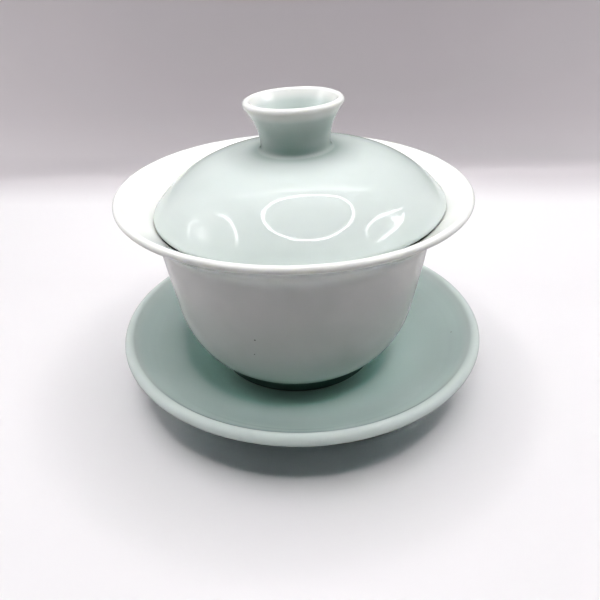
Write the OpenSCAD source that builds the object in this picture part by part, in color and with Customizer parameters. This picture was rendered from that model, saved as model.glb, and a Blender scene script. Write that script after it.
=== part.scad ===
// Gaiwan: a lidded tea bowl on a saucer, thrown porcelain under a pale celadon glaze.
// Frame: origin on the table at the centre of the saucer, +Z up, millimetres.
// Every piece is turned about its own upright axis. The bowl stands a little off the
// saucer's centre and leans by half a degree, and the lid lies slightly askew in its flare.

/* [Saucer] */
// Outer diameter of the saucer
saucer_d = 108; // [104:1:114]
// Height of the saucer, table to top of lip
saucer_h = 18.4; // [17.6:0.2:20]
// Thickness of the rounded lip of the saucer
saucer_lip = 3.2; // [2.8:0.1:3.6]
// Diameter where the dish folds up towards the lip
saucer_fold_d = 91; // [88:1:94]
// Height of the flat seat the bowl stands on
saucer_seat_z = 6.6; // [6.2:0.1:7]
// Diameter of the foot ring of the saucer
saucer_foot_d = 52; // [48:1:56]

/* [Bowl] */
// Outer diameter of the flared rim
bowl_rim_d = 96.2; // [94:0.1:98]
// Height of the bowl, foot to top of lip
bowl_h = 54.1; // [53.5:0.1:56]
// Thickness of the rounded lip of the bowl
bowl_lip = 2.0; // [1.8:0.1:2.4]
// Outer diameter of the wall just under the flare
bowl_waist_d = 76; // [75.4:0.2:76.6]
// Outer diameter of the foot ring of the bowl
bowl_foot_d = 49; // [46:1:50]
// Height of the foot ring of the bowl
bowl_foot_h = 4.4; // [4:0.1:5]
// How far the bowl stands off the centre of the saucer, to the left
bowl_off = 1.5; // [0:0.1:2]
// How far the foot of the bowl stands off the centre of the saucer, to the back
bowl_back = 0.45; // [0:0.05:0.6]
// How far the bowl leans to the front, with its lid
bowl_lean = 0.55; // [0:0.05:0.7]

/* [Lid] */
// Outer diameter of the edge of the lid
lid_d = 79.8; // [79:0.1:80]
// Height of the dome above the edge of the lid
dome_h = 14.7; // [14.2:0.1:15.6]
// Thickness of the wall of the lid
lid_wall = 2.3; // [2:0.1:2.6]
// How far the lid lies off the centre of the bowl, to the right
lid_off = 1.45; // [1.4:0.05:1.5]
// Tilt of the lid, right side high
lid_tilt = 2; // [1.9:0.05:2.1]

/* [Knob] */
// Outer diameter of the lip of the knob
knob_d = 26; // [24:0.5:28]
// Outer diameter of the neck of the knob
knob_neck_d = 18.4; // [17.6:0.2:19.6]
// Height of the lip of the knob above the edge of the lid
knob_h = 27.3; // [26.5:0.1:28.5]
// Depth of the hollow in the knob
knob_hollow = 10.2; // [9:0.2:11]

/* [Hidden] */
$fn = 96;
steps = 10;
seat_gap = 0.1;
lid_gap = 0.2;
bowl_z = saucer_seat_z + seat_gap + bowl_foot_d / 2 * sin(bowl_lean);
lid_lip = 1.1;
flare_tilt = 43;
lid_seat = 49.4;

// Points of a cubic curve from a to d, without a itself
function curve(a, b, c, d) = [
    for (i = [1 : steps])
        let (t = i / steps, u = 1 - t)
            u * u * u * a + 3 * u * u * t * b + 3 * u * t * t * c + t * t * t * d
];

// Points of an arc about c from angle a0 to a1, both ends included
function arc(c, r, a0, a1) = [
    for (i = [0 : steps])
        let (a = a0 + (a1 - a0) * i / steps)
            c + r * [cos(a), sin(a)]
];

// Point at a distance from p in the direction a
function ahead(p, a, dist) = p + dist * [cos(a), sin(a)];

// Saucer: foot ring, underside, rounded lip, dish with a soft fold, flat seat
function saucer_outline() =
    let (
        r = saucer_lip / 2,
        lip = [saucer_d / 2 - r, saucer_h - r],
        foot = saucer_foot_d / 2,
        out = ahead(lip, -52, r),
        in = ahead(lip, 140, r),
        fold = [saucer_fold_d / 2, saucer_h - r - 3.3],
        seat = [27, saucer_seat_z]
    )
    concat(
        [[0, 3], [foot - 5, 2.7], [foot - 4, 2]],
        [[foot - 3.7, 0.3], [foot - 3.3, 0], [foot - 0.6, 0], [foot - 0.1, 0.5]],
        curve([foot - 0.1, 0.5], [foot + 0.1, 3], [foot + 0.8, 4], [foot + 4, 4.9]),
        curve([foot + 4, 4.9], ahead([foot + 4, 4.9], 15, 9), ahead(out, 218, 8), out),
        arc(lip, r, -45, 140),
        curve(in, ahead(in, 230, 2.6), ahead(fold, 34, 2.8), fold),
        curve(fold, ahead(fold, 208, 5), ahead(seat, 4, 7), seat),
        [[0, saucer_seat_z]]
    );

// Bowl: foot ring, rounded belly, near-straight wall, flare, lip, inside
function bowl_outline() =
    let (
        r = bowl_lip / 2,
        lip = [bowl_rim_d / 2 - r, bowl_h - r],
        foot = bowl_foot_d / 2,
        waist = bowl_waist_d / 2,
        belly = [waist - 2.7, 21.7],
        neck = [waist, 41.4],
        rest = flare_rest(),
        under = ahead(rest, flare_tilt - 90, 2),
        out = ahead(lip, -56, r),
        in = ahead(lip, 124, r),
        floor = 6.3,
        seam = [foot + 0.9, bowl_foot_h]
    )
    concat(
        [[0, 3.3], [foot - 4.6, 3], [foot - 3.3, 2.2]],
        [[foot - 2.9, 0.3], [foot - 2.5, 0], [foot - 0.5, 0], [foot - 0.1, 0.4]],
        curve([foot - 0.1, 0.4], [foot + 0.1, 2], [foot - 0.1, 3.6], seam),
        curve(seam, ahead(seam, 23, 5.2), ahead(belly, 262, 8), belly),
        curve(belly, ahead(belly, 82, 5.5), ahead(neck, 266, 5.5), neck),
        curve(neck, ahead(neck, 86, 2.4), ahead(under, flare_tilt + 180, 2.6), under),
        curve(under, ahead(under, flare_tilt, 3), ahead(out, 215, 3), out),
        arc(lip, r, -50, 124),
        curve(in, ahead(in, 214, 3), ahead(rest, flare_tilt, 3), rest),
        curve(rest, ahead(rest, flare_tilt + 180, 3.4), [waist - 2.2, 43.6], [waist - 2.2, 40.6]),
        curve([waist - 2.2, 40.6], [waist - 2.4, 34], [waist - 4, 28], [waist - 5, 22]),
        curve([waist - 5, 22], [waist - 6.6, 11.4], [22, floor], [8, floor]),
        [[0, floor]]
    );

// Where the inside of the flare passes under the edge of a centred lid
function flare_rest() = ahead(
    [lid_d / 2 - lid_lip, lid_seat],
    flare_tilt - 90,
    lid_lip + lid_gap
);

// Lid: rounded edge, dome, knob with a neck and a flared lip, hollow, underside
function lid_outline() =
    let (
        edge = [lid_d / 2 - lid_lip, 0],
        shoulder = ahead(edge, 42, lid_lip),
        bridge = [24, dome_h - 2.95],
        neck = knob_neck_d / 2,
        join = [neck + 1.3, dome_h - 0.2],
        r = 1,
        lip = [knob_d / 2 - r, knob_h - r],
        out = ahead(lip, -40, r),
        in = ahead(lip, 150, r),
        pit = [6.2, knob_h - knob_hollow],
        in_edge = ahead(edge, 225, lid_lip),
        in_bridge = ahead(bridge, 251, lid_wall),
        crown = dome_h - lid_wall - 0.1
    )
    concat(
        [[0, crown], [4, crown]],
        curve([4, crown], [11, crown], ahead(in_bridge, 161, 5), in_bridge),
        curve(in_bridge, ahead(in_bridge, -19, 8.5), ahead(in_edge, 131, 3.2), in_edge),
        arc(edge, lid_lip, -130, 42),
        curve(shoulder, ahead(shoulder, 131, 3.1), ahead(bridge, -18.8, 9.1), bridge),
        curve(bridge, ahead(bridge, 161.2, 4.6), ahead(join, -5.6, 4.6), join),
        curve(join, [neck + 0.4, dome_h - 0.1], [neck, dome_h + 0.3], [neck, dome_h + 1.3]),
        curve([neck, dome_h + 1.3], [neck + 0.1, dome_h + 5.4], ahead(out, 237, 4), out),
        arc(lip, r, -30, 150),
        curve(in, ahead(in, 240, 2.2), [pit[0] + 1.9, pit[1] + 3.6], ahead(pit, 62, 1.6)),
        curve(ahead(pit, 62, 1.6), ahead(pit, 62, 0.2), [pit[0] - 0.6, pit[1]], [pit[0] - 2, pit[1]]),
        [[0, pit[1] - 0.1]]
    );

module saucer() {
    color([0.72, 0.82, 0.79])
        rotate_extrude()
            polygon(saucer_outline());
}

// Where the bowl stands, with the lid that rides in it
module on_saucer() {
    translate([-bowl_off, bowl_back, bowl_z])
        rotate([bowl_lean, 0, 0])
            children();
}

module bowl() {
    color([0.84, 0.87, 0.86])
        on_saucer()
            rotate_extrude()
                polygon(bowl_outline());
}

module lid() {
    color([0.78, 0.88, 0.85])
        on_saucer()
            translate([lid_off, 0, lid_seat])
                rotate([0, -lid_tilt, 0])
                    rotate_extrude()
                        polygon(lid_outline());
}

saucer();
bowl();
lid();
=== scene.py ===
import math

import bpy
import numpy as np
from mathutils import Matrix, Vector


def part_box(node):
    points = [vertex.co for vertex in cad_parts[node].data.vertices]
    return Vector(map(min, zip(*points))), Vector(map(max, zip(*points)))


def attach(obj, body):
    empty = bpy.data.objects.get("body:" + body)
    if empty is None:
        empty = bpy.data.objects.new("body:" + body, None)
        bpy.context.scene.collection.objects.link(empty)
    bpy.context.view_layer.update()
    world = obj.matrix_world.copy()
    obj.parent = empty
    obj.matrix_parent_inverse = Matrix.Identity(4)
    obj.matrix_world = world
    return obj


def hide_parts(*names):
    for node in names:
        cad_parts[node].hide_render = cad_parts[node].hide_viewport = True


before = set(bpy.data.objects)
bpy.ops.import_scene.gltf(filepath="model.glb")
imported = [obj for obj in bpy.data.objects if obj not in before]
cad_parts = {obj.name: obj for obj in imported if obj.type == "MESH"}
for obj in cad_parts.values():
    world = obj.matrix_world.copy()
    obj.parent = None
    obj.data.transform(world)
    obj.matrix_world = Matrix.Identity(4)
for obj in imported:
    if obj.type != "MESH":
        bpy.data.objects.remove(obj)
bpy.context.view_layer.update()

MM = 0.001
STEPS = 22  # points along a curve or an arc
SEGMENTS = 288  # points round a turned piece

# ---------------------------------------------------------------- sizes, millimetres
SAUCER_LIP = 3.2
SAUCER_FOLD_D = 91.0
SAUCER_SEAT_Z = 6.6
SAUCER_FOOT_D = 52.0
BOWL_H = 54.1
BOWL_LIP = 2.0
BOWL_WAIST_D = 76.0
BOWL_FOOT_D = 49.0
BOWL_FOOT_H = 4.4
BOWL_FLOOR = 6.3
BOWL_EDGE_R = 24.0  # radius of the edge of the foot ring that the leaning bowl stands on
BOWL_LEAN = math.radians(0.55)
FLARE_TILT = 43  # degrees
LID_D = 79.8
LID_LIP = 1.1
LID_WALL = 2.3
LID_GAP = 0.2
LID_SEAT = 49.4
LID_OFF = 1.45
LID_TILT = math.radians(2)
DOME_H = 14.7
KNOB_D = 26.0
KNOB_LIP = 2.0
KNOB_NECK_D = 18.4
KNOB_H = 27.3
KNOB_HOLLOW = 10.2

# ---------------------------------------------------------------- where the pieces are
saucer_low, saucer_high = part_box("saucer")
bowl_low, bowl_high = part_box("bowl")
SAUCER_R = (saucer_high.x - saucer_low.x) / 2 / MM
SAUCER_H = (saucer_high.z - saucer_low.z) / MM
BOWL_R = (bowl_high.x - bowl_low.x) / 2 / MM


def moved(x, y, z):
    """A move in millimetres, as a matrix."""
    return Matrix.Translation(Vector((x, y, z)) * MM)


saucer_centre = (saucer_low + saucer_high) / 2 / MM
rim_centre = (bowl_low + bowl_high) / 2 / MM
bowl_y = rim_centre.y + (BOWL_H - BOWL_LIP / 2) * math.sin(BOWL_LEAN)
bowl_z = bowl_low.z / MM + BOWL_EDGE_R * math.sin(BOWL_LEAN)
saucer_place = moved(saucer_centre.x, saucer_centre.y, saucer_low.z / MM)
bowl_place = moved(rim_centre.x, bowl_y, bowl_z) @ Matrix.Rotation(BOWL_LEAN, 4, "X")
lid_place = bowl_place @ moved(LID_OFF, 0, LID_SEAT) @ Matrix.Rotation(-LID_TILT, 4, "Y")


# ---------------------------------------------------------------- outlines, millimetres
def curve(a, b, c, d, steps=STEPS):
    """Points of a cubic curve from a to d, without a itself."""
    a, b, c, d = (np.array(p, float) for p in (a, b, c, d))
    out = []
    for i in range(1, steps + 1):
        t = i / steps
        u = 1 - t
        out.append(u**3 * a + 3 * u * u * t * b + 3 * u * t * t * c + t**3 * d)
    return out


def arc(c, r, a0, a1, steps=STEPS):
    """Points of an arc about c from angle a0 to a1, both ends included."""
    angles = np.radians(np.linspace(a0, a1, steps + 1))
    return [np.array(c) + r * np.array([math.cos(a), math.sin(a)]) for a in angles]


def line(a, b, steps=8):
    """Points of a straight line from a to b, without a itself."""
    a, b = np.array(a, float), np.array(b, float)
    return [a + (b - a) * i / steps for i in range(1, steps + 1)]


def ahead(p, a, dist):
    """The point at a distance from p in the direction a, in degrees."""
    a = math.radians(a)
    return np.array(p, float) + dist * np.array([math.cos(a), math.sin(a)])


def foot_ring(inner_top, inner, outer, outer_top):
    """A foot ring seen in section: down its inner side, across its flat, up its outer side."""
    inner_low = (inner - 0.3, 0.45)
    flat_in, flat_out = (inner + 0.2, 0), (outer - 0.3, 0)
    return (
        curve(inner_top, (inner_top[0] + 0.35, inner_top[1] - 0.5), (inner - 0.2, 0.7), inner_low, 6)
        + curve(inner_low, (inner - 0.25, 0.12), (inner - 0.1, 0), flat_in, 6)
        + line(flat_in, flat_out, 6)
        + curve(flat_out, (outer, 0), (outer + 0.12, 0.12), outer_top, 6)
    )


def saucer_outline():
    r = SAUCER_LIP / 2
    lip = (SAUCER_R - r, SAUCER_H - r)
    foot = SAUCER_FOOT_D / 2
    foot_side = (foot - 0.1, 0.5)
    out = ahead(lip, -52, r)
    inn = ahead(lip, 140, r)
    fold = (SAUCER_FOLD_D / 2, SAUCER_H - r - 3.3)
    seat = (27.0, SAUCER_SEAT_Z)
    rise = (foot + 4, 4.9)
    return (
        [np.array((0.0, 3.0))]
        + line((0, 3), (foot - 5, 2.7), 24)
        + foot_ring((foot - 4, 2), foot - 3.4, foot - 0.5, foot_side)
        + curve(foot_side, (foot + 0.1, 3), (foot + 0.8, 4), rise)
        + curve(rise, ahead(rise, 15, 9), ahead(out, 218, 8), out, 28)
        + arc(lip, r, -45, 140)
        + curve(inn, ahead(inn, 230, 2.6), ahead(fold, 34, 2.8), fold)
        + curve(fold, ahead(fold, 208, 5), ahead(seat, 4, 7), seat, 32)
        + line(seat, (0, SAUCER_SEAT_Z), 40)
    )


def bowl_outline():
    r = BOWL_LIP / 2
    lip = (BOWL_R - r, BOWL_H - r)
    foot, waist = BOWL_FOOT_D / 2, BOWL_WAIST_D / 2
    foot_side = (foot - 0.1, 0.4)
    seam = (foot + 0.9, BOWL_FOOT_H)
    belly = (waist - 2.7, 21.7)
    neck = (waist, 41.4)
    rest = ahead((LID_D / 2 - LID_LIP, LID_SEAT), FLARE_TILT - 90, LID_LIP + LID_GAP)
    under = ahead(rest, FLARE_TILT - 90, 2)
    out = ahead(lip, -56, r)
    inn = ahead(lip, 124, r)
    shelf = (waist - 2.2, 40.6)
    middle = (waist - 5, 22)
    floor = (8, BOWL_FLOOR)
    return (
        [np.array((0.0, 3.3))]
        + line((0, 3.3), (foot - 4.6, 3), 20)
        + foot_ring((foot - 3.3, 2.2), foot - 2.6, foot - 0.4, foot_side)
        + curve(foot_side, (foot + 0.1, 2), (foot - 0.1, 3.6), seam)
        + curve(seam, ahead(seam, 23, 5.2), ahead(belly, 262, 8), belly, 40)
        + curve(belly, ahead(belly, 82, 5.5), ahead(neck, 266, 5.5), neck, 32)
        + curve(neck, ahead(neck, 86, 2.4), ahead(under, FLARE_TILT + 180, 2.6), under)
        + curve(under, ahead(under, FLARE_TILT, 3), ahead(out, 215, 3), out)
        + arc(lip, r, -50, 124)
        + curve(inn, ahead(inn, 214, 3), ahead(rest, FLARE_TILT, 3), rest)
        + curve(rest, ahead(rest, FLARE_TILT + 180, 3.4), (waist - 2.2, 43.6), shelf)
        + curve(shelf, (waist - 2.4, 34), (waist - 4, 28), middle)
        + curve(middle, (waist - 6.6, 11.4), (22, BOWL_FLOOR), floor, 36)
        + line(floor, (0, BOWL_FLOOR), 8)
    )


def lid_outline():
    edge = (LID_D / 2 - LID_LIP, 0.0)
    shoulder = ahead(edge, 42, LID_LIP)
    bridge = (24.0, DOME_H - 2.95)
    neck = KNOB_NECK_D / 2
    join, stem = (neck + 1.3, DOME_H - 0.2), (neck, DOME_H + 1.3)
    r = KNOB_LIP / 2
    lip = (KNOB_D / 2 - r, KNOB_H - r)
    out = ahead(lip, -40, r)
    inn = ahead(lip, 150, r)
    pit = (6.2, KNOB_H - KNOB_HOLLOW)
    pit_wall, pit_floor = ahead(pit, 62, 1.6), (pit[0] - 2, pit[1])
    in_edge = ahead(edge, 225, LID_LIP)
    in_bridge = ahead(bridge, 251, LID_WALL)
    crown = DOME_H - LID_WALL - 0.1
    return (
        [np.array((0.0, crown))]
        + line((0, crown), (4, crown), 4)
        + curve((4, crown), (11, crown), ahead(in_bridge, 161, 5), in_bridge)
        + curve(in_bridge, ahead(in_bridge, -19, 8.5), ahead(in_edge, 131, 3.2), in_edge)
        + arc(edge, LID_LIP, -130, 42)
        + curve(shoulder, ahead(shoulder, 131, 3.1), ahead(bridge, -18.8, 9.1), bridge, 40)
        + curve(bridge, ahead(bridge, 161.2, 4.6), ahead(join, -5.6, 4.6), join, 32)
        + curve(join, (neck + 0.5, DOME_H - 0.12), (neck + 0.02, DOME_H + 0.2), stem)
        + curve(stem, (neck + 0.1, DOME_H + 5.4), ahead(out, 237, 4), out, 28)
        + arc(lip, r, -30, 150)
        + curve(inn, ahead(inn, 240, 2.2), (pit[0] + 1.9, pit[1] + 3.6), pit_wall)
        + curve(pit_wall, ahead(pit, 62, 0.2), (pit[0] - 0.6, pit[1]), pit_floor)
        + line(pit_floor, (0, pit[1] - 0.1), 4)
    )


# ---------------------------------------------------------------- turning an outline
def fade(x, zero, one):
    """0 at zero, 1 at one, smooth between."""
    t = np.clip((x - zero) / (one - zero), 0, 1)
    return t * t * (3 - 2 * t)


def clean_outline(outline):
    """The outline as an array, without doubled points and with both ends on the axis."""
    pts = [outline[0]]
    for p in outline[1:]:
        if np.linalg.norm(p - pts[-1]) > 1e-4:
            pts.append(p)
    p = np.array(pts)
    p[0, 0] = p[-1, 0] = 0.0
    return p


def turned_points(p, length, relief):
    """The points of a turned piece, in metres, with the faint rings of the potter's wheel."""
    step = p[2:] - p[:-2]
    step /= np.linalg.norm(step, axis=1)[:, None]
    angle = np.linspace(0, 2 * math.pi, SEGMENTS, endpoint=False)
    along = length[1:-1, None]
    wide, narrow = np.sin(2.7 * along + angle), np.sin(4.3 * along - angle + 1.1)
    rise = relief(p[1:-1, 0], p[1:-1, 1])[:, None] * (0.6 * wide + 0.4 * narrow)
    r = p[1:-1, :1] + rise * step[:, 1:]
    z = p[1:-1, 1:] - rise * step[:, :1]
    rings = np.stack([r * np.cos(angle), r * np.sin(angle), z], -1).reshape(-1, 3)
    return np.vstack([[(0, 0, p[0, 1])], rings, [(0, 0, p[-1, 1])]]) * MM


def turned_faces(p, last, bare):
    """The faces of a turned piece, and for each of them 1 where the body is bare, else 0."""
    faces, kinds = [], []
    top = len(p) - 2

    def at(i, j):
        return 1 + (i - 1) * SEGMENTS + j % SEGMENTS

    def kind(i):
        r, z = (p[i] + p[i + 1]) / 2
        return 1 if bare(r, z) else 0

    for j in range(SEGMENTS):
        faces.append((0, at(1, j + 1), at(1, j)))
    for i in range(1, top):
        for j in range(SEGMENTS):
            faces.append((at(i, j), at(i, j + 1), at(i + 1, j + 1), at(i + 1, j)))
    for j in range(SEGMENTS):
        faces.append((at(top, j), at(top, j + 1), last))
    for i in range(top + 1):
        kinds += [kind(i)] * SEGMENTS
    return faces, kinds


def unwrap(mesh, length, last):
    """UVs: u goes once round the piece, and v runs along its outline."""
    uv = mesh.uv_layers.new(name="UVMap")
    v = length / length[-1]
    vert = np.zeros(len(mesh.loops), np.int32)
    mesh.loops.foreach_get("vertex_index", vert)
    on_axis = (vert == 0) | (vert == last)
    col = np.where(on_axis, 0, (vert - 1) % SEGMENTS)
    row = np.where(vert == 0, 0, np.where(vert == last, len(v) - 1, (vert - 1) // SEGMENTS + 1))
    loops = np.zeros((len(mesh.loops), 2), np.float32)
    loops[:, 0] = col / SEGMENTS
    loops[:, 1] = v[row]
    start = np.zeros(len(mesh.polygons), np.int32)
    total = np.zeros(len(mesh.polygons), np.int32)
    mesh.polygons.foreach_get("loop_start", start)
    mesh.polygons.foreach_get("loop_total", total)
    owner = np.repeat(np.arange(len(total)), total)
    last_col = np.maximum.reduceat(col, start)
    first_col = np.minimum.reduceat(np.where(on_axis, SEGMENTS, col), start)
    seam = (last_col == SEGMENTS - 1) & (first_col == 0)
    loops[:, 0] += np.where(seam[owner] & (col == 0), 1.0, 0.0)
    uv.data.foreach_set("uv", loops.ravel())


def lathe(name, outline, place, thin_and_painted_light, pool_and_painted_shading, bare, relief):
    """A turned piece. Its rule for thinness says how thinly glazed it is at (r, z), with painted light
    added in places; its rule for pooling says how much the glaze pools there, with painted shade and
    painted light added in places;
    bare says where the body is left unglazed; relief is how far the wheel's rings stand out."""
    p = clean_outline(outline)
    length = np.r_[0, np.cumsum(np.linalg.norm(np.diff(p, axis=0), axis=1))]
    points = turned_points(p, length, relief)
    last = len(points) - 1
    faces, kinds = turned_faces(p, last, bare)
    mesh = bpy.data.meshes.new(name)
    mesh.from_pydata([tuple(c) for c in points], [], faces)
    mesh.polygons.foreach_set("material_index", kinds)
    mesh.polygons.foreach_set("use_smooth", [True] * len(faces))
    for label, rule in (("thin_and_painted_light", thin_and_painted_light), ("pool_and_painted_shading", pool_and_painted_shading)):
        level = rule(p[:, 0], p[:, 1])
        values = np.concatenate([level[:1], np.repeat(level[1:-1], SEGMENTS), level[-1:]])
        layer = mesh.attributes.new(label, "FLOAT", "POINT")
        layer.data.foreach_set("value", values.astype(np.float32))
    unwrap(mesh, length, last)
    mesh.transform(place)
    mesh.update()
    obj = bpy.data.objects.new(name, mesh)
    bpy.context.scene.collection.objects.link(obj)
    return obj


# ---------------------------------------------------------------- materials
def link_nodes(material, spec, links):
    """Adds nodes by name and joins them. In the values of a node, a key that starts with a dot
    is one of its settings, and any other key is one of its inputs."""
    tree = material.node_tree
    made = {}
    for name, kind, values in spec:
        node = tree.nodes.new(kind)
        node.name = name
        for key, value in values.items():
            if isinstance(key, str) and key.startswith("."):
                setattr(node, key[1:], value)
            else:
                node.inputs[key].default_value = value
        made[name] = node
    for a, out, b, into in links:
        tree.links.new(made[a].outputs[out], made[b].inputs[into])
    return made


def ramp(node, stops):
    """Gives a colour ramp its stops, (position, colour)."""
    elements = node.color_ramp.elements
    while len(elements) > len(stops):
        elements.remove(elements[-1])
    while len(elements) < len(stops):
        elements.new(0.5)
    for element, (position, colour) in zip(elements, stops):
        element.position = position
        element.color = (*colour, 1)


def new_material(name):
    m = bpy.data.materials.new(name)
    m.use_nodes = True
    m.node_tree.nodes.clear()
    return m


PALE_AND_PAINTED_LIGHT = (0.80, 0.81, 0.79)  # glaze run thinner over white porcelain, also used as painted light on shaded parts
IRON = (0.16, 0.15, 0.12)  # the specks
GLAZE_SURFACE = {
    "Roughness": 0.03,
    "IOR": 1.52,
    "Subsurface Weight": 0.35,
    "Subsurface Radius": (1.0, 1.0, 0.9),
    "Subsurface Scale": 0.0012,
}
CLOUDING = {"From Min": 0.3, "From Max": 0.7, "To Min": -0.10, "To Max": 0.10}
SPECK_EDGE = {"From Min": 0.028, "From Max": 0.048, "To Min": 1.0, "To Max": 0.0}


def glaze(name, body, pool_shading_colour):
    """Glossy celadon over porcelain: body colour, paler where the glaze runs thinner and where light is
    painted, and a second tone where it pools, which also carries painted shade on the bowl's foot and
    round the knob and painted light on the saucer's dish;
    with faint clouding, a few dark iron specks and a gentle ripple."""
    m = new_material(name)
    n = link_nodes(
        m,
        [
            ("out", "ShaderNodeOutputMaterial", {}),
            ("glaze", "ShaderNodeBsdfPrincipled", GLAZE_SURFACE),
            ("where", "ShaderNodeTexCoord", {}),
            ("thin_and_painted_light", "ShaderNodeAttribute", {".attribute_name": "thin_and_painted_light"}),
            ("pool_and_painted_shading", "ShaderNodeAttribute", {".attribute_name": "pool_and_painted_shading"}),
            ("cloud", "ShaderNodeTexNoise", {"Scale": 38.0, "Detail": 3.0, "Roughness": 0.5}),
            ("cloud_range", "ShaderNodeMapRange", CLOUDING),
            ("pool_and_painted_shading_sum", "ShaderNodeMath", {".operation": "ADD", ".use_clamp": True}),
            ("tone_pool_and_painted_shading", "ShaderNodeMix", {".data_type": "RGBA"}),
            ("tone_pale_and_painted_light", "ShaderNodeMix", {".data_type": "RGBA"}),
            ("cells", "ShaderNodeTexVoronoi", {"Scale": 170.0, "Randomness": 1.0}),
            ("near", "ShaderNodeMapRange", SPECK_EDGE),
            ("split", "ShaderNodeSeparateColor", {}),
            ("chosen", "ShaderNodeMath", {".operation": "GREATER_THAN", 1: 0.78}),
            ("speck", "ShaderNodeMath", {".operation": "MULTIPLY"}),
            ("speck_soft", "ShaderNodeMath", {".operation": "MULTIPLY", 1: 0.75}),
            ("specked", "ShaderNodeMix", {".data_type": "RGBA"}),
            ("grain", "ShaderNodeTexNoise", {"Scale": 900.0, "Detail": 2.0}),
            ("rough", "ShaderNodeMapRange", {"To Min": 0.02, "To Max": 0.045}),
            ("wave", "ShaderNodeTexNoise", {"Scale": 95.0, "Detail": 2.0, "Roughness": 0.4}),
            ("ripple", "ShaderNodeBump", {"Strength": 1.0, "Distance": 0.000006}),
            ("peel", "ShaderNodeBump", {"Strength": 0.5, "Distance": 0.0000015}),
        ],
        [
            ("where", "Object", "cloud", "Vector"),
            ("where", "Object", "cells", "Vector"),
            ("where", "Object", "grain", "Vector"),
            ("where", "Object", "wave", "Vector"),
            ("cloud", 0, "cloud_range", "Value"),
            ("pool_and_painted_shading", "Fac", "pool_and_painted_shading_sum", 0),
            ("cloud_range", 0, "pool_and_painted_shading_sum", 1),
            ("pool_and_painted_shading_sum", 0, "tone_pool_and_painted_shading", 0),
            ("thin_and_painted_light", "Fac", "tone_pale_and_painted_light", 0),
            ("tone_pool_and_painted_shading", 2, "tone_pale_and_painted_light", 6),
            ("cells", "Distance", "near", "Value"),
            ("cells", "Color", "split", 0),
            ("split", 0, "chosen", 0),
            ("near", 0, "speck", 0),
            ("chosen", 0, "speck", 1),
            ("speck", 0, "speck_soft", 0),
            ("speck_soft", 0, "specked", 0),
            ("tone_pale_and_painted_light", 2, "specked", 6),
            ("specked", 2, "glaze", "Base Color"),
            ("grain", 0, "rough", "Value"),
            ("rough", 0, "glaze", "Roughness"),
            ("wave", 0, "ripple", "Height"),
            ("ripple", 0, "peel", "Normal"),
            ("grain", 0, "peel", "Height"),
            ("peel", 0, "glaze", "Normal"),
            ("glaze", 0, "out", "Surface"),
        ],
    )
    n["tone_pool_and_painted_shading"].inputs[6].default_value = (*body, 1)
    n["tone_pool_and_painted_shading"].inputs[7].default_value = (*pool_shading_colour, 1)
    n["tone_pale_and_painted_light"].inputs[7].default_value = (*PALE_AND_PAINTED_LIGHT, 1)
    n["specked"].inputs[7].default_value = (*IRON, 1)
    return m


def bisque(name):
    """Bare fired porcelain on a foot ring: warm, dry and slightly gritty, rubbed grey in places."""
    m = new_material(name)
    n = link_nodes(
        m,
        [
            ("out", "ShaderNodeOutputMaterial", {}),
            ("clay", "ShaderNodeBsdfPrincipled", {"Roughness": 0.85, "Specular IOR Level": 0.25}),
            ("where", "ShaderNodeTexCoord", {}),
            ("stain", "ShaderNodeTexNoise", {"Scale": 120.0, "Detail": 4.0}),
            ("tone", "ShaderNodeValToRGB", {}),
            ("grit", "ShaderNodeTexNoise", {"Scale": 2600.0, "Detail": 3.0}),
            ("bump", "ShaderNodeBump", {"Strength": 0.6, "Distance": 0.00003}),
        ],
        [
            ("where", "Object", "stain", "Vector"),
            ("where", "Object", "grit", "Vector"),
            ("stain", 0, "tone", 0),
            ("tone", 0, "clay", "Base Color"),
            ("grit", 0, "bump", "Height"),
            ("bump", 0, "clay", "Normal"),
            ("clay", 0, "out", "Surface"),
        ],
    )
    ramp(n["tone"], [(0.3, (0.60, 0.56, 0.49)), (0.7, (0.78, 0.75, 0.69))])
    return m


saucer_glaze = glaze("saucer_glaze", body=(0.50, 0.60, 0.575), pool_shading_colour=(0.69, 0.84, 0.80))
bowl_glaze = glaze("bowl_glaze", body=(0.70, 0.70, 0.685), pool_shading_colour=(0.12, 0.20, 0.18))
lid_glaze = glaze("lid_glaze", body=(0.565, 0.625, 0.605), pool_shading_colour=(0.26, 0.36, 0.32))
bare_clay = bisque("bare_porcelain")


# ---------------------------------------------------------------- how the glaze lies, with painted light and shade
def near(r, z, at, inner, outer):
    """1 within inner of the point at, 0 beyond outer."""
    return fade(np.hypot(r - at[0], z - at[1]), outer, inner)


def saucer_thin(r, z):
    """A little thinner over the lip."""
    lip = (SAUCER_R - SAUCER_LIP / 2, SAUCER_H - SAUCER_LIP / 2)
    return 0.3 * near(r, z, lip, 1.6, 5.0) * fade(r, SAUCER_R - 6.0, SAUCER_R - 1.9)


def saucer_pool_and_painted_light(r, z):
    """Pooling over the dish towards the seat, lighter and greener, which is also painted light lifting
    the shade that the bowl throws on the dish; and a little against the foot ring.
    """
    # the first term is partly painted light, under the bowl's shade
    return (z > 5) * fade(r, 46, 27) + 0.2 * near(r, z, (26, 3), 0.5, 5)


def flare_inside(r, z):
    """1 on the inside of the bowl's flare, 0 on its underside."""
    above = (z - 48.4) - (r - 39.7) * 0.8
    return fade(above, -1.7, -0.9) * fade(r, 38.0, 39.6) * (z > 46)


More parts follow.
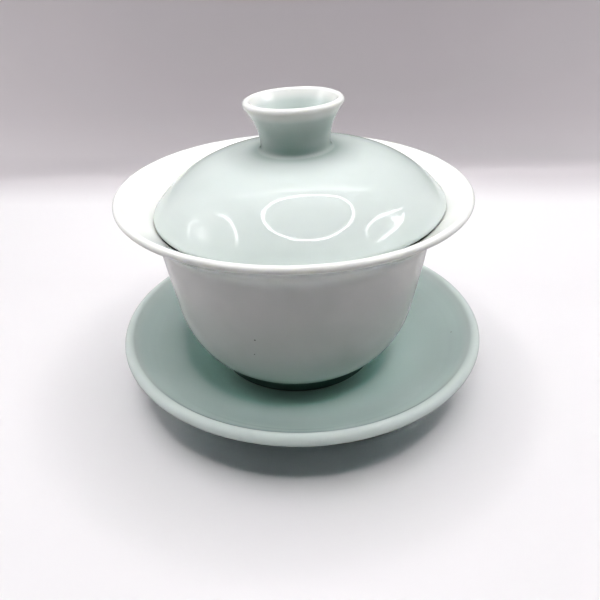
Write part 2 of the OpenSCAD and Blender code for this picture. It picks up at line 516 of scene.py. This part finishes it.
def bowl_thin_and_painted_light(r, z):
    """Paler over the lip, where the glaze runs thinner, with painted light carried onto the lip's
    shaded underside; painted light over the inside of the flare, above the foot, and in the shaded bend
    under the flare.
    """
    # the lip: glaze run thinner, and painted light down its shaded underside
    lip = near(r, z, (BOWL_R - BOWL_LIP / 2, BOWL_H - BOWL_LIP / 2), 1.6, 3.6)
    # painted light: the lower body made paler against its shade
    above_foot = 0.5 * fade(z, 18, 7) * fade(z, 4.6, 5.4) * (r > 24)
    # painted light: the shaded bend under the flare made paler
    under_flare = 0.9 * near(r, z, (41.5, 46.5), 1.5, 5.0)
    # flare_inside adds painted light over the inside of the flare, against the shade of the lid
    return np.maximum(np.maximum(lip, flare_inside(r, z)), above_foot + under_flare)


def bowl_pool_and_painted_shade(r, z):
    """Darker on the foot ring, below the seam: glaze pooling there, and painted shade for the dark gap
    between the foot and the saucer.
    """
    # painted shade with pooling: the foot ring darkened
    return 0.95 * fade(z, 5.2, 4.5)


def lid_thin_and_painted_light(r, z):
    """Paler over the lip of the knob, where the glaze runs thinner, with painted light on the lip's
    shaded underside, and a faint painted highlight line where the knob joins the dome.
    """
    # the second term is a painted highlight round the foot of the knob
    return np.maximum(near(r, z, (12, 26.3), 0.9, 3.2), 0.12 * near(r, z, (9.75, 14.75), 0.15, 0.8))


def lid_pool_and_painted_shade(r, z):
    """Painted shade round the foot of the knob; darker in its hollow, and slightly along the lid's
    edge.
    """
    # neck and join are painted shade where the knob meets the dome
    neck = 0.30 * (r > 8) * fade(r, 16, 10) * fade(z, 13, 14) * fade(z, 26, 20)
    join = 0.20 * near(r, z, (10.0, 15.0), 0.4, 3.0)
    hollow = 0.25 * (r < 9) * fade(z, 25, 18) * (z > 16.9)
    edge = 0.05 * fade(r, 36.9, 38.3) * (z > -0.6)
    return neck + join + hollow + edge


# ---------------------------------------------------------------- the three pieces
saucer = lathe(
    "saucer_glazed",
    saucer_outline(),
    saucer_place,
    saucer_thin,
    saucer_pool_and_painted_light,
    bare=lambda r, z: z < 0.45,
    relief=lambda r, z: 0.006 * fade(z, 0.6, 3) * fade(r, 0, 8) * fade(r, 53, 50),
)
bowl = lathe(
    "bowl_glazed",
    bowl_outline(),
    bowl_place,
    bowl_thin_and_painted_light,
    bowl_pool_and_painted_shade,
    bare=lambda r, z: z < 0.38,
    relief=lambda r, z: 0.005 * fade(z, 1, 5) * fade(z, 46, 42) * fade(r, 0, 8),
)
lid = lathe(
    "lid_glazed",
    lid_outline(),
    lid_place,
    lid_thin_and_painted_light,
    lid_pool_and_painted_shade,
    bare=lambda r, z: z < -0.85,
    relief=lambda r, z: 0.0025 * fade(z, 2, 5) * fade(r, 8, 14),
)
for piece, node, slot, material in (
    (saucer, "saucer", "saucer_glaze", saucer_glaze),
    (bowl, "bowl", "bowl_glaze", bowl_glaze),
    (lid, "lid", "lid_glaze", lid_glaze),
):
    piece.data.materials.append(material)
    piece.data.materials.append(bare_clay)
    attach(piece, node)
    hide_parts(node)


# ---------------------------------------------------------------- floor and backdrop, metres
def stage_mesh(name, verts, faces, material, seen=True, casts=True, smooth=False):
    """A mesh of the set. seen is whether the camera sees it, casts whether it throws a shadow."""
    mesh = bpy.data.meshes.new(name)
    mesh.from_pydata(verts, [], faces)
    mesh.polygons.foreach_set("use_smooth", [smooth] * len(faces))
    mesh.materials.append(material)
    obj = bpy.data.objects.new(name, mesh)
    bpy.context.scene.collection.objects.link(obj)
    obj.visible_camera = seen
    obj.visible_shadow = casts
    return obj


SLANT = 0.055  # how far the sweep is turned from the saucer's Y axis, as a slope
SWEEP_BEND, SWEEP_WALL, SWEEP_HIGH, SWEEP_SIDE = 0.13, 0.33, 0.55, 0.9
TONES_FROM = 0.05
# The paper's tones, from y = TONES_FROM at 0 to the wall at 1: white where it lies on the
# table, mauve grey where it rises. The greying towards the wall is painted shade, and the light band
# just before the bend is painted light.
SWEEP_PAINTED_SHADING = (
    (0.00, (0.735, 0.722, 0.737)),
    (0.30, (0.82, 0.807, 0.823)),
    (0.345, (0.775, 0.757, 0.775)),
    (0.40, (0.690, 0.667, 0.687)),
    (0.45, (0.635, 0.608, 0.629)),
    (0.53, (0.625, 0.597, 0.619)),
    (0.60, (0.625, 0.597, 0.617)),
    (0.68, (0.580, 0.551, 0.571)),
    (0.77, (0.520, 0.491, 0.511)),
    (0.85, (0.487, 0.459, 0.477)),
    (1.00, (0.447, 0.420, 0.437)),
)


def sweep_material():
    m = new_material("backdrop")
    n = link_nodes(
        m,
        [
            ("out", "ShaderNodeOutputMaterial", {}),
            ("paper", "ShaderNodeBsdfDiffuse", {"Roughness": 0.0}),
            ("where", "ShaderNodeTexCoord", {}),
            ("back", "ShaderNodeVectorMath", {".operation": "DOT_PRODUCT", 1: (SLANT, 1, 0)}),
            ("depth", "ShaderNodeMapRange", {"From Min": TONES_FROM, "From Max": SWEEP_WALL}),
            ("tone", "ShaderNodeValToRGB", {}),
        ],
        [
            ("where", "Object", "back", 0),
            ("back", "Value", "depth", "Value"),
            ("depth", 0, "tone", 0),
            ("tone", 0, "paper", "Color"),
            ("paper", 0, "out", "Surface"),
        ],
    )
    # the paper's colour carries painted shade and painted light
    ramp(n["tone"], SWEEP_PAINTED_SHADING)
    return m


def build_sweep():
    """The table and the wall behind it: one sheet with a round bend between them."""
    bend, start = SWEEP_BEND, SWEEP_WALL - SWEEP_BEND
    rail = [(-SWEEP_SIDE, 0.0), (-0.3, 0.0), (0.0, 0.0), (start, 0.0)]
    for a in np.radians(np.linspace(5, 90, 18)):
        rail.append((start + bend * math.sin(a), bend - bend * math.cos(a)))
    rail.append((SWEEP_WALL, SWEEP_HIGH))
    verts = [(x, y - SLANT * x, z) for y, z in rail for x in (-SWEEP_SIDE, SWEEP_SIDE)]
    faces = [(2 * i, 2 * i + 1, 2 * i + 3, 2 * i + 2) for i in range(len(rail) - 1)]
    return stage_mesh("sweep", verts, faces, sweep_material(), smooth=True)


# ---------------------------------------------------------------- tent and lights, metres
TINT = (1.0, 0.985, 0.99)
RING_C = (0.018, -0.022, 0.417)
RING_R = 0.152
RING_HALF = 0.0075  # half the width of the even glow
RING_POWER = 47.0
BEADS = 84
BEAD_HALF = 0.006  # half the width of a bead
BEAD_FILL = 0.5  # how much of the ring's length the beads take up
BEAD_POWER = 27.0
TENT_X, TENT_Y, TENT_TOP = (-0.20, 0.21), (-0.21, 0.18), 0.425
CLOTH_FOOT, BACK_FOOT = 0.001, 0.03
WING_X, WING_Y = 0.12, 0.33  # how far out, and to what y, the sides flare behind the tent
# Each cloth's strength at its foot (the ceiling's: in front), at its top (the ceiling's: at the
# back), and of the bright band just below that end
TENT = {
    "ceiling": (0.4, 0.45, 0.0),
    "left": (0.78, 0.98, 0.0),
    "right": (0.80, 0.80, 0.0),
    "back": (0.1, 0.45, 5.2),
    "front": (0.02, 0.02, 0.0),
}
FRONT_DIM = 0.75  # how much weaker the sides are at the open front than at the back
FULL_FROM = 0.12  # the y from which the sides have their full strength
# A patch of creased cloth on each side: y, z, reach, strength
FOLDS = {"left": (0.02, 0.24, 0.13, 1.3), "right": (-0.03, 0.27, 0.11, 1.6)}
CREASE_GAP = 0.002  # how far the creases stand in front of their cloth
# Single bright creases: side, width, strength, and the points (y, z) that they run through
CREASES = (
    (
        "left",
        0.020,
        9.0,
        ((0.05, 0.265), (0.035, 0.295), (-0.015, 0.315), (-0.075, 0.305), (-0.105, 0.275)),
    ),
    ("left", 0.012, 5.0, ((0.015, 0.15), (0.04, 0.155), (0.05, 0.175), (0.04, 0.205))),
    ("left", 0.034, 5.0, ((0.02, 0.18), (-0.02, 0.195))),
    ("left", 0.012, 7.0, ((-0.01, 0.365), (-0.055, 0.37), (-0.10, 0.36))),
    (
        "right",
        0.017,
        9.5,
        ((-0.115, 0.305), (-0.085, 0.345), (-0.045, 0.345), (0.0, 0.315), (0.03, 0.265), (0.065, 0.22)),
    ),
    (
        "right",
        0.013,
        9.0,
        ((0.05, 0.21), (0.01, 0.21), (-0.025, 0.225), (-0.07, 0.25), (-0.105, 0.28)),
    ),
    ("right", 0.016, 10.0, ((0.025, 0.26), (0.01, 0.24), (0.02, 0.225), (-0.01, 0.23))),
)


def glow(name, colour, low, high=None, peak=0.0, span=(2, 0.0, TENT_TOP), dim=0.0, folds=None):
    """A soft glow that goes from low to high along an axis, span = (axis, start, end), with a
    bright band of strength peak just before the end, where the ring light falls on the cloth.
    dim is how much weaker it is towards the open front of the tent, and folds is
    (y, z, reach, strength) for a patch of creased cloth that catches the light."""
    high = low if high is None else high
    opening = {"From Min": TENT_Y[0], "From Max": FULL_FROM, "To Min": 1.0 - dim, "To Max": 1.0}
    m = new_material(name)
    n = link_nodes(
        m,
        [
            ("out", "ShaderNodeOutputMaterial", {}),
            ("light", "ShaderNodeEmission", {"Color": (*colour, 1)}),
            ("where", "ShaderNodeTexCoord", {}),
            ("axes", "ShaderNodeSeparateXYZ", {}),
            ("height", "ShaderNodeMapRange", {"From Min": span[1], "From Max": span[2]}),
            ("fall", "ShaderNodeMapRange", {"To Min": low, "To Max": high}),
            ("power", "ShaderNodeMath", {".operation": "POWER", 1: 14.0}),
            ("band", "ShaderNodeMath", {".operation": "MULTIPLY", 1: peak}),
            ("sum", "ShaderNodeMath", {".operation": "ADD"}),
            ("open", "ShaderNodeMapRange", opening),
            ("dimmed", "ShaderNodeMath", {".operation": "MULTIPLY"}),
        ],
        [
            ("where", "Object", "axes", 0),
            ("axes", 1, "open", "Value"),
            ("axes", span[0], "height", "Value"),
            ("height", 0, "fall", "Value"),
            ("height", 0, "power", 0),
            ("power", 0, "band", 0),
            ("fall", 0, "sum", 0),
            ("band", 0, "sum", 1),
            ("sum", 0, "dimmed", 0),
            ("open", 0, "dimmed", 1),
            ("dimmed", 0, "light", "Strength"),
            ("light", 0, "out", "Surface"),
        ],
    )
    if folds:
        add_folds(m, n["dimmed"], n["light"], *folds)
    return m


def add_folds(material, dimmed, light, y, z, reach, strength):
    """Adds a patch of creased cloth about (y, z) between two nodes of a glow."""
    fringe = {".interpolation_type": "SMOOTHSTEP", "From Min": reach, "From Max": reach * 0.35}
    n = link_nodes(
        material,
        [
            ("place", "ShaderNodeTexCoord", {}),
            ("centre", "ShaderNodeVectorMath", {".operation": "SUBTRACT", 1: (0, y, z)}),
            ("flat", "ShaderNodeVectorMath", {".operation": "MULTIPLY", 1: (0, 1, 1)}),
            ("far", "ShaderNodeVectorMath", {".operation": "LENGTH"}),
            ("patch", "ShaderNodeMapRange", fringe),
            ("cloth", "ShaderNodeTexNoise", {"Scale": 16.0, "Detail": 1.0, "Distortion": 1.0}),
            ("soft", "ShaderNodeMapRange", {"From Min": 0.35, "From Max": 0.65}),
            ("masked", "ShaderNodeMath", {".operation": "MULTIPLY"}),
            ("scaled", "ShaderNodeMath", {".operation": "MULTIPLY", 1: strength}),
            ("total", "ShaderNodeMath", {".operation": "ADD"}),
        ],
        [
            ("place", "Object", "centre", 0),
            ("centre", 0, "flat", 0),
            ("flat", 0, "far", 0),
            ("far", "Value", "patch", "Value"),
            ("place", "Object", "cloth", "Vector"),
            ("cloth", 0, "soft", "Value"),
            ("soft", 0, "masked", 0),
            ("patch", 0, "masked", 1),
            ("masked", 0, "scaled", 0),
            ("scaled", 0, "total", 0),
        ],
    )
    links = material.node_tree.links
    links.new(dimmed.outputs[0], n["total"].inputs[1])
    links.new(n["total"].outputs[0], light.inputs["Strength"])


def build_ring():
    """The ring lamp. Its even glow lights the scene; its beads are what the glaze mirrors."""
    angles = [2 * math.pi * i / BEADS for i in range(BEADS)]
    half = math.pi * RING_R / BEADS * BEAD_FILL
    verts, faces = [], []
    for i, a in enumerate(angles):
        out = Vector((math.cos(a), math.sin(a), 0))
        side = Vector((-math.sin(a), math.cos(a), 0))
        c = Vector(RING_C) + out * RING_R
        for u, w in ((-1, -1), (1, -1), (1, 1), (-1, 1)):
            verts.append(tuple(c + out * u * BEAD_HALF + side * w * half))
        faces.append((4 * i, 4 * i + 3, 4 * i + 2, 4 * i + 1))
    m = glow("ring_beads", TINT, BEAD_POWER)
    beads = stage_mesh("beads", verts, faces, m, seen=False, casts=False)
    beads.visible_diffuse = False
    verts, faces = [], []
    for i, a in enumerate(angles):
        for r in (RING_R - RING_HALF, RING_R + RING_HALF):
            verts.append((RING_C[0] + r * math.cos(a), RING_C[1] + r * math.sin(a), RING_C[2]))
        j = (i + 1) % BEADS
        faces.append((2 * i, 2 * j, 2 * j + 1, 2 * i + 1))
    m = glow("ring_glow", TINT, RING_POWER)
    ring = stage_mesh("ring", verts, faces, m, seen=False, casts=False)
    ring.visible_glossy = False


def upright(a, b, foot=CLOTH_FOOT):
    """The corners of an upright cloth between two (x, y) points, up to the tent's top."""
    return [(*a, foot), (*b, foot), (*b, TENT_TOP), (*a, TENT_TOP)]


def build_tent():
    """The cloths of a light tent. They light the scene and show only in the glaze."""
    (x0, x1), (y0, y1) = TENT_X, TENT_Y
    walls = {
        "ceiling": [(x0, y0, TENT_TOP), (x1, y0, TENT_TOP), (x1, y1, TENT_TOP), (x0, y1, TENT_TOP)],
        "left": upright((x0, y0), (x0, y1)),
        "right": upright((x1, y1), (x1, y0)),
        "left_wing": upright((x0, y1), (x0 - WING_X, WING_Y)),
        "right_wing": upright((x1 + WING_X, WING_Y), (x1, y1)),
        "back": upright((x0, y1), (x1, y1), BACK_FOOT),
        "front": upright((x1, y0), (x0, y0)),
    }
    for name, corners in walls.items():
        span = (1, y0, y1) if name == "ceiling" else (2, 0.0, TENT_TOP)
        dim = FRONT_DIM if name in FOLDS else 0.0
        strengths = TENT[name.split("_")[0]]
        m = glow("tent_" + name, TINT, *strengths, span=span, dim=dim, folds=FOLDS.get(name))
        stage_mesh(name, corners, [(0, 1, 2, 3)], m, seen=False, casts=False)


def smooth_rail(points):
    """Points of a smooth curve, a Catmull-Rom spline, through the given points."""
    p = [np.array(q) for q in points]
    ends = [2 * p[0] - p[1], *p, 2 * p[-1] - p[-2]]
    rail = []
    for a, b, c, d in zip(ends, ends[1:], ends[2:], ends[3:]):
        for t in np.linspace(0, 1, 8, endpoint=False):
            square = (2 * a - 5 * b + 4 * c - d) * t**2
            cube = (3 * b - a - 3 * c + d) * t**3
            rail.append(0.5 * (2 * b + (c - a) * t + square + cube))
    return np.array(rail + [p[-1]])


def build_creases():
    """Creases in the side cloths that catch the lamp. They show only in the glaze."""
    wall_x = {"left": TENT_X[0] + CREASE_GAP, "right": TENT_X[1] - CREASE_GAP}
    for i, (wall, width, strength, points) in enumerate(CREASES):
        rail = smooth_rail(points)
        n = len(rail)
        way = np.gradient(rail, axis=0)
        way /= np.linalg.norm(way, axis=1)[:, None]
        taper = np.sin(np.linspace(0.12, math.pi - 0.12, n))[:, None] ** 0.6 * width / 2
        side = np.stack([-way[:, 1], way[:, 0]], 1) * taper
        verts = [(wall_x[wall], *p) for p in np.vstack([rail + side, rail - side])]
        faces = [(j, j + 1, n + j + 1, n + j) for j in range(n - 1)]
        m = glow("crease_glow_%d" % i, TINT, strength)
        crease = stage_mesh("crease_%d" % i, verts, faces, m, seen=False, casts=False)
        crease.visible_diffuse = False


def build_surround():
    """What the camera sees beyond the sweep from other sides. It lights nothing."""
    far, low, high = 3.0, -0.6, 3.0
    angles = np.radians(np.arange(0, 360, 10))
    n = len(angles)
    verts = [(math.cos(a) * far, math.sin(a) * far, z) for z in (low, high) for a in angles]
    faces = [(j, (j + 1) % n, n + (j + 1) % n, n + j) for j in range(n)]
    faces.append(tuple(range(n, 2 * n)))
    obj = stage_mesh("surround", verts, faces, glow("surround", (0.86, 0.85, 0.86), 0.8), casts=False)
    for flag in ("visible_diffuse", "visible_glossy", "visible_transmission", "visible_volume_scatter"):
        setattr(obj, flag, False)


build_sweep()
build_ring()
build_tent()
build_creases()
build_surround()

# ---------------------------------------------------------------- world and tones
# The contrast of the picture: the darks are pulled down, the rest is left as it is
TONE_CURVE = ((0.045, 0.012), (0.1, 0.048), (0.22, 0.202), (0.5, 0.5))

world = bpy.data.worlds.new("plain")
world.use_nodes = True
world.node_tree.nodes["Background"].inputs["Strength"].default_value = 0.0
bpy.context.scene.world = world
view = bpy.context.scene.view_settings
view.view_transform = "Standard"
view.look = "None"
view.use_curve_mapping = True
for at, value in TONE_CURVE:
    view.curve_mapping.curves[3].points.new(at, value)
view.curve_mapping.update()

# ---------------------------------------------------------------- camera
CAMERA_AT = (-0.4, -147.3, 114.7)  # millimetres
PITCH, ROLL = math.radians(31.88), math.radians(-1.32)
sin_pitch, cos_pitch = math.sin(PITCH), math.cos(PITCH)
sin_roll, cos_roll = math.sin(ROLL), math.cos(ROLL)
right_axis = Vector((cos_roll, sin_roll * sin_pitch, sin_roll * cos_pitch))
up_axis = Vector((-sin_roll, cos_roll * sin_pitch, cos_roll * cos_pitch))
back_axis = Vector((0, -cos_pitch, sin_pitch))
camera = bpy.data.cameras.new("camera")
camera.sensor_width = 36
camera.lens = 33.6
camera.clip_start = 0.01
camera.clip_end = 10
eye = bpy.data.objects.new("camera", camera)
bpy.context.scene.collection.objects.link(eye)
pose = Matrix((right_axis, up_axis, back_axis)).transposed().to_4x4()
pose.translation = Vector(CAMERA_AT) * MM
eye.matrix_world = pose
bpy.context.scene.camera = eye
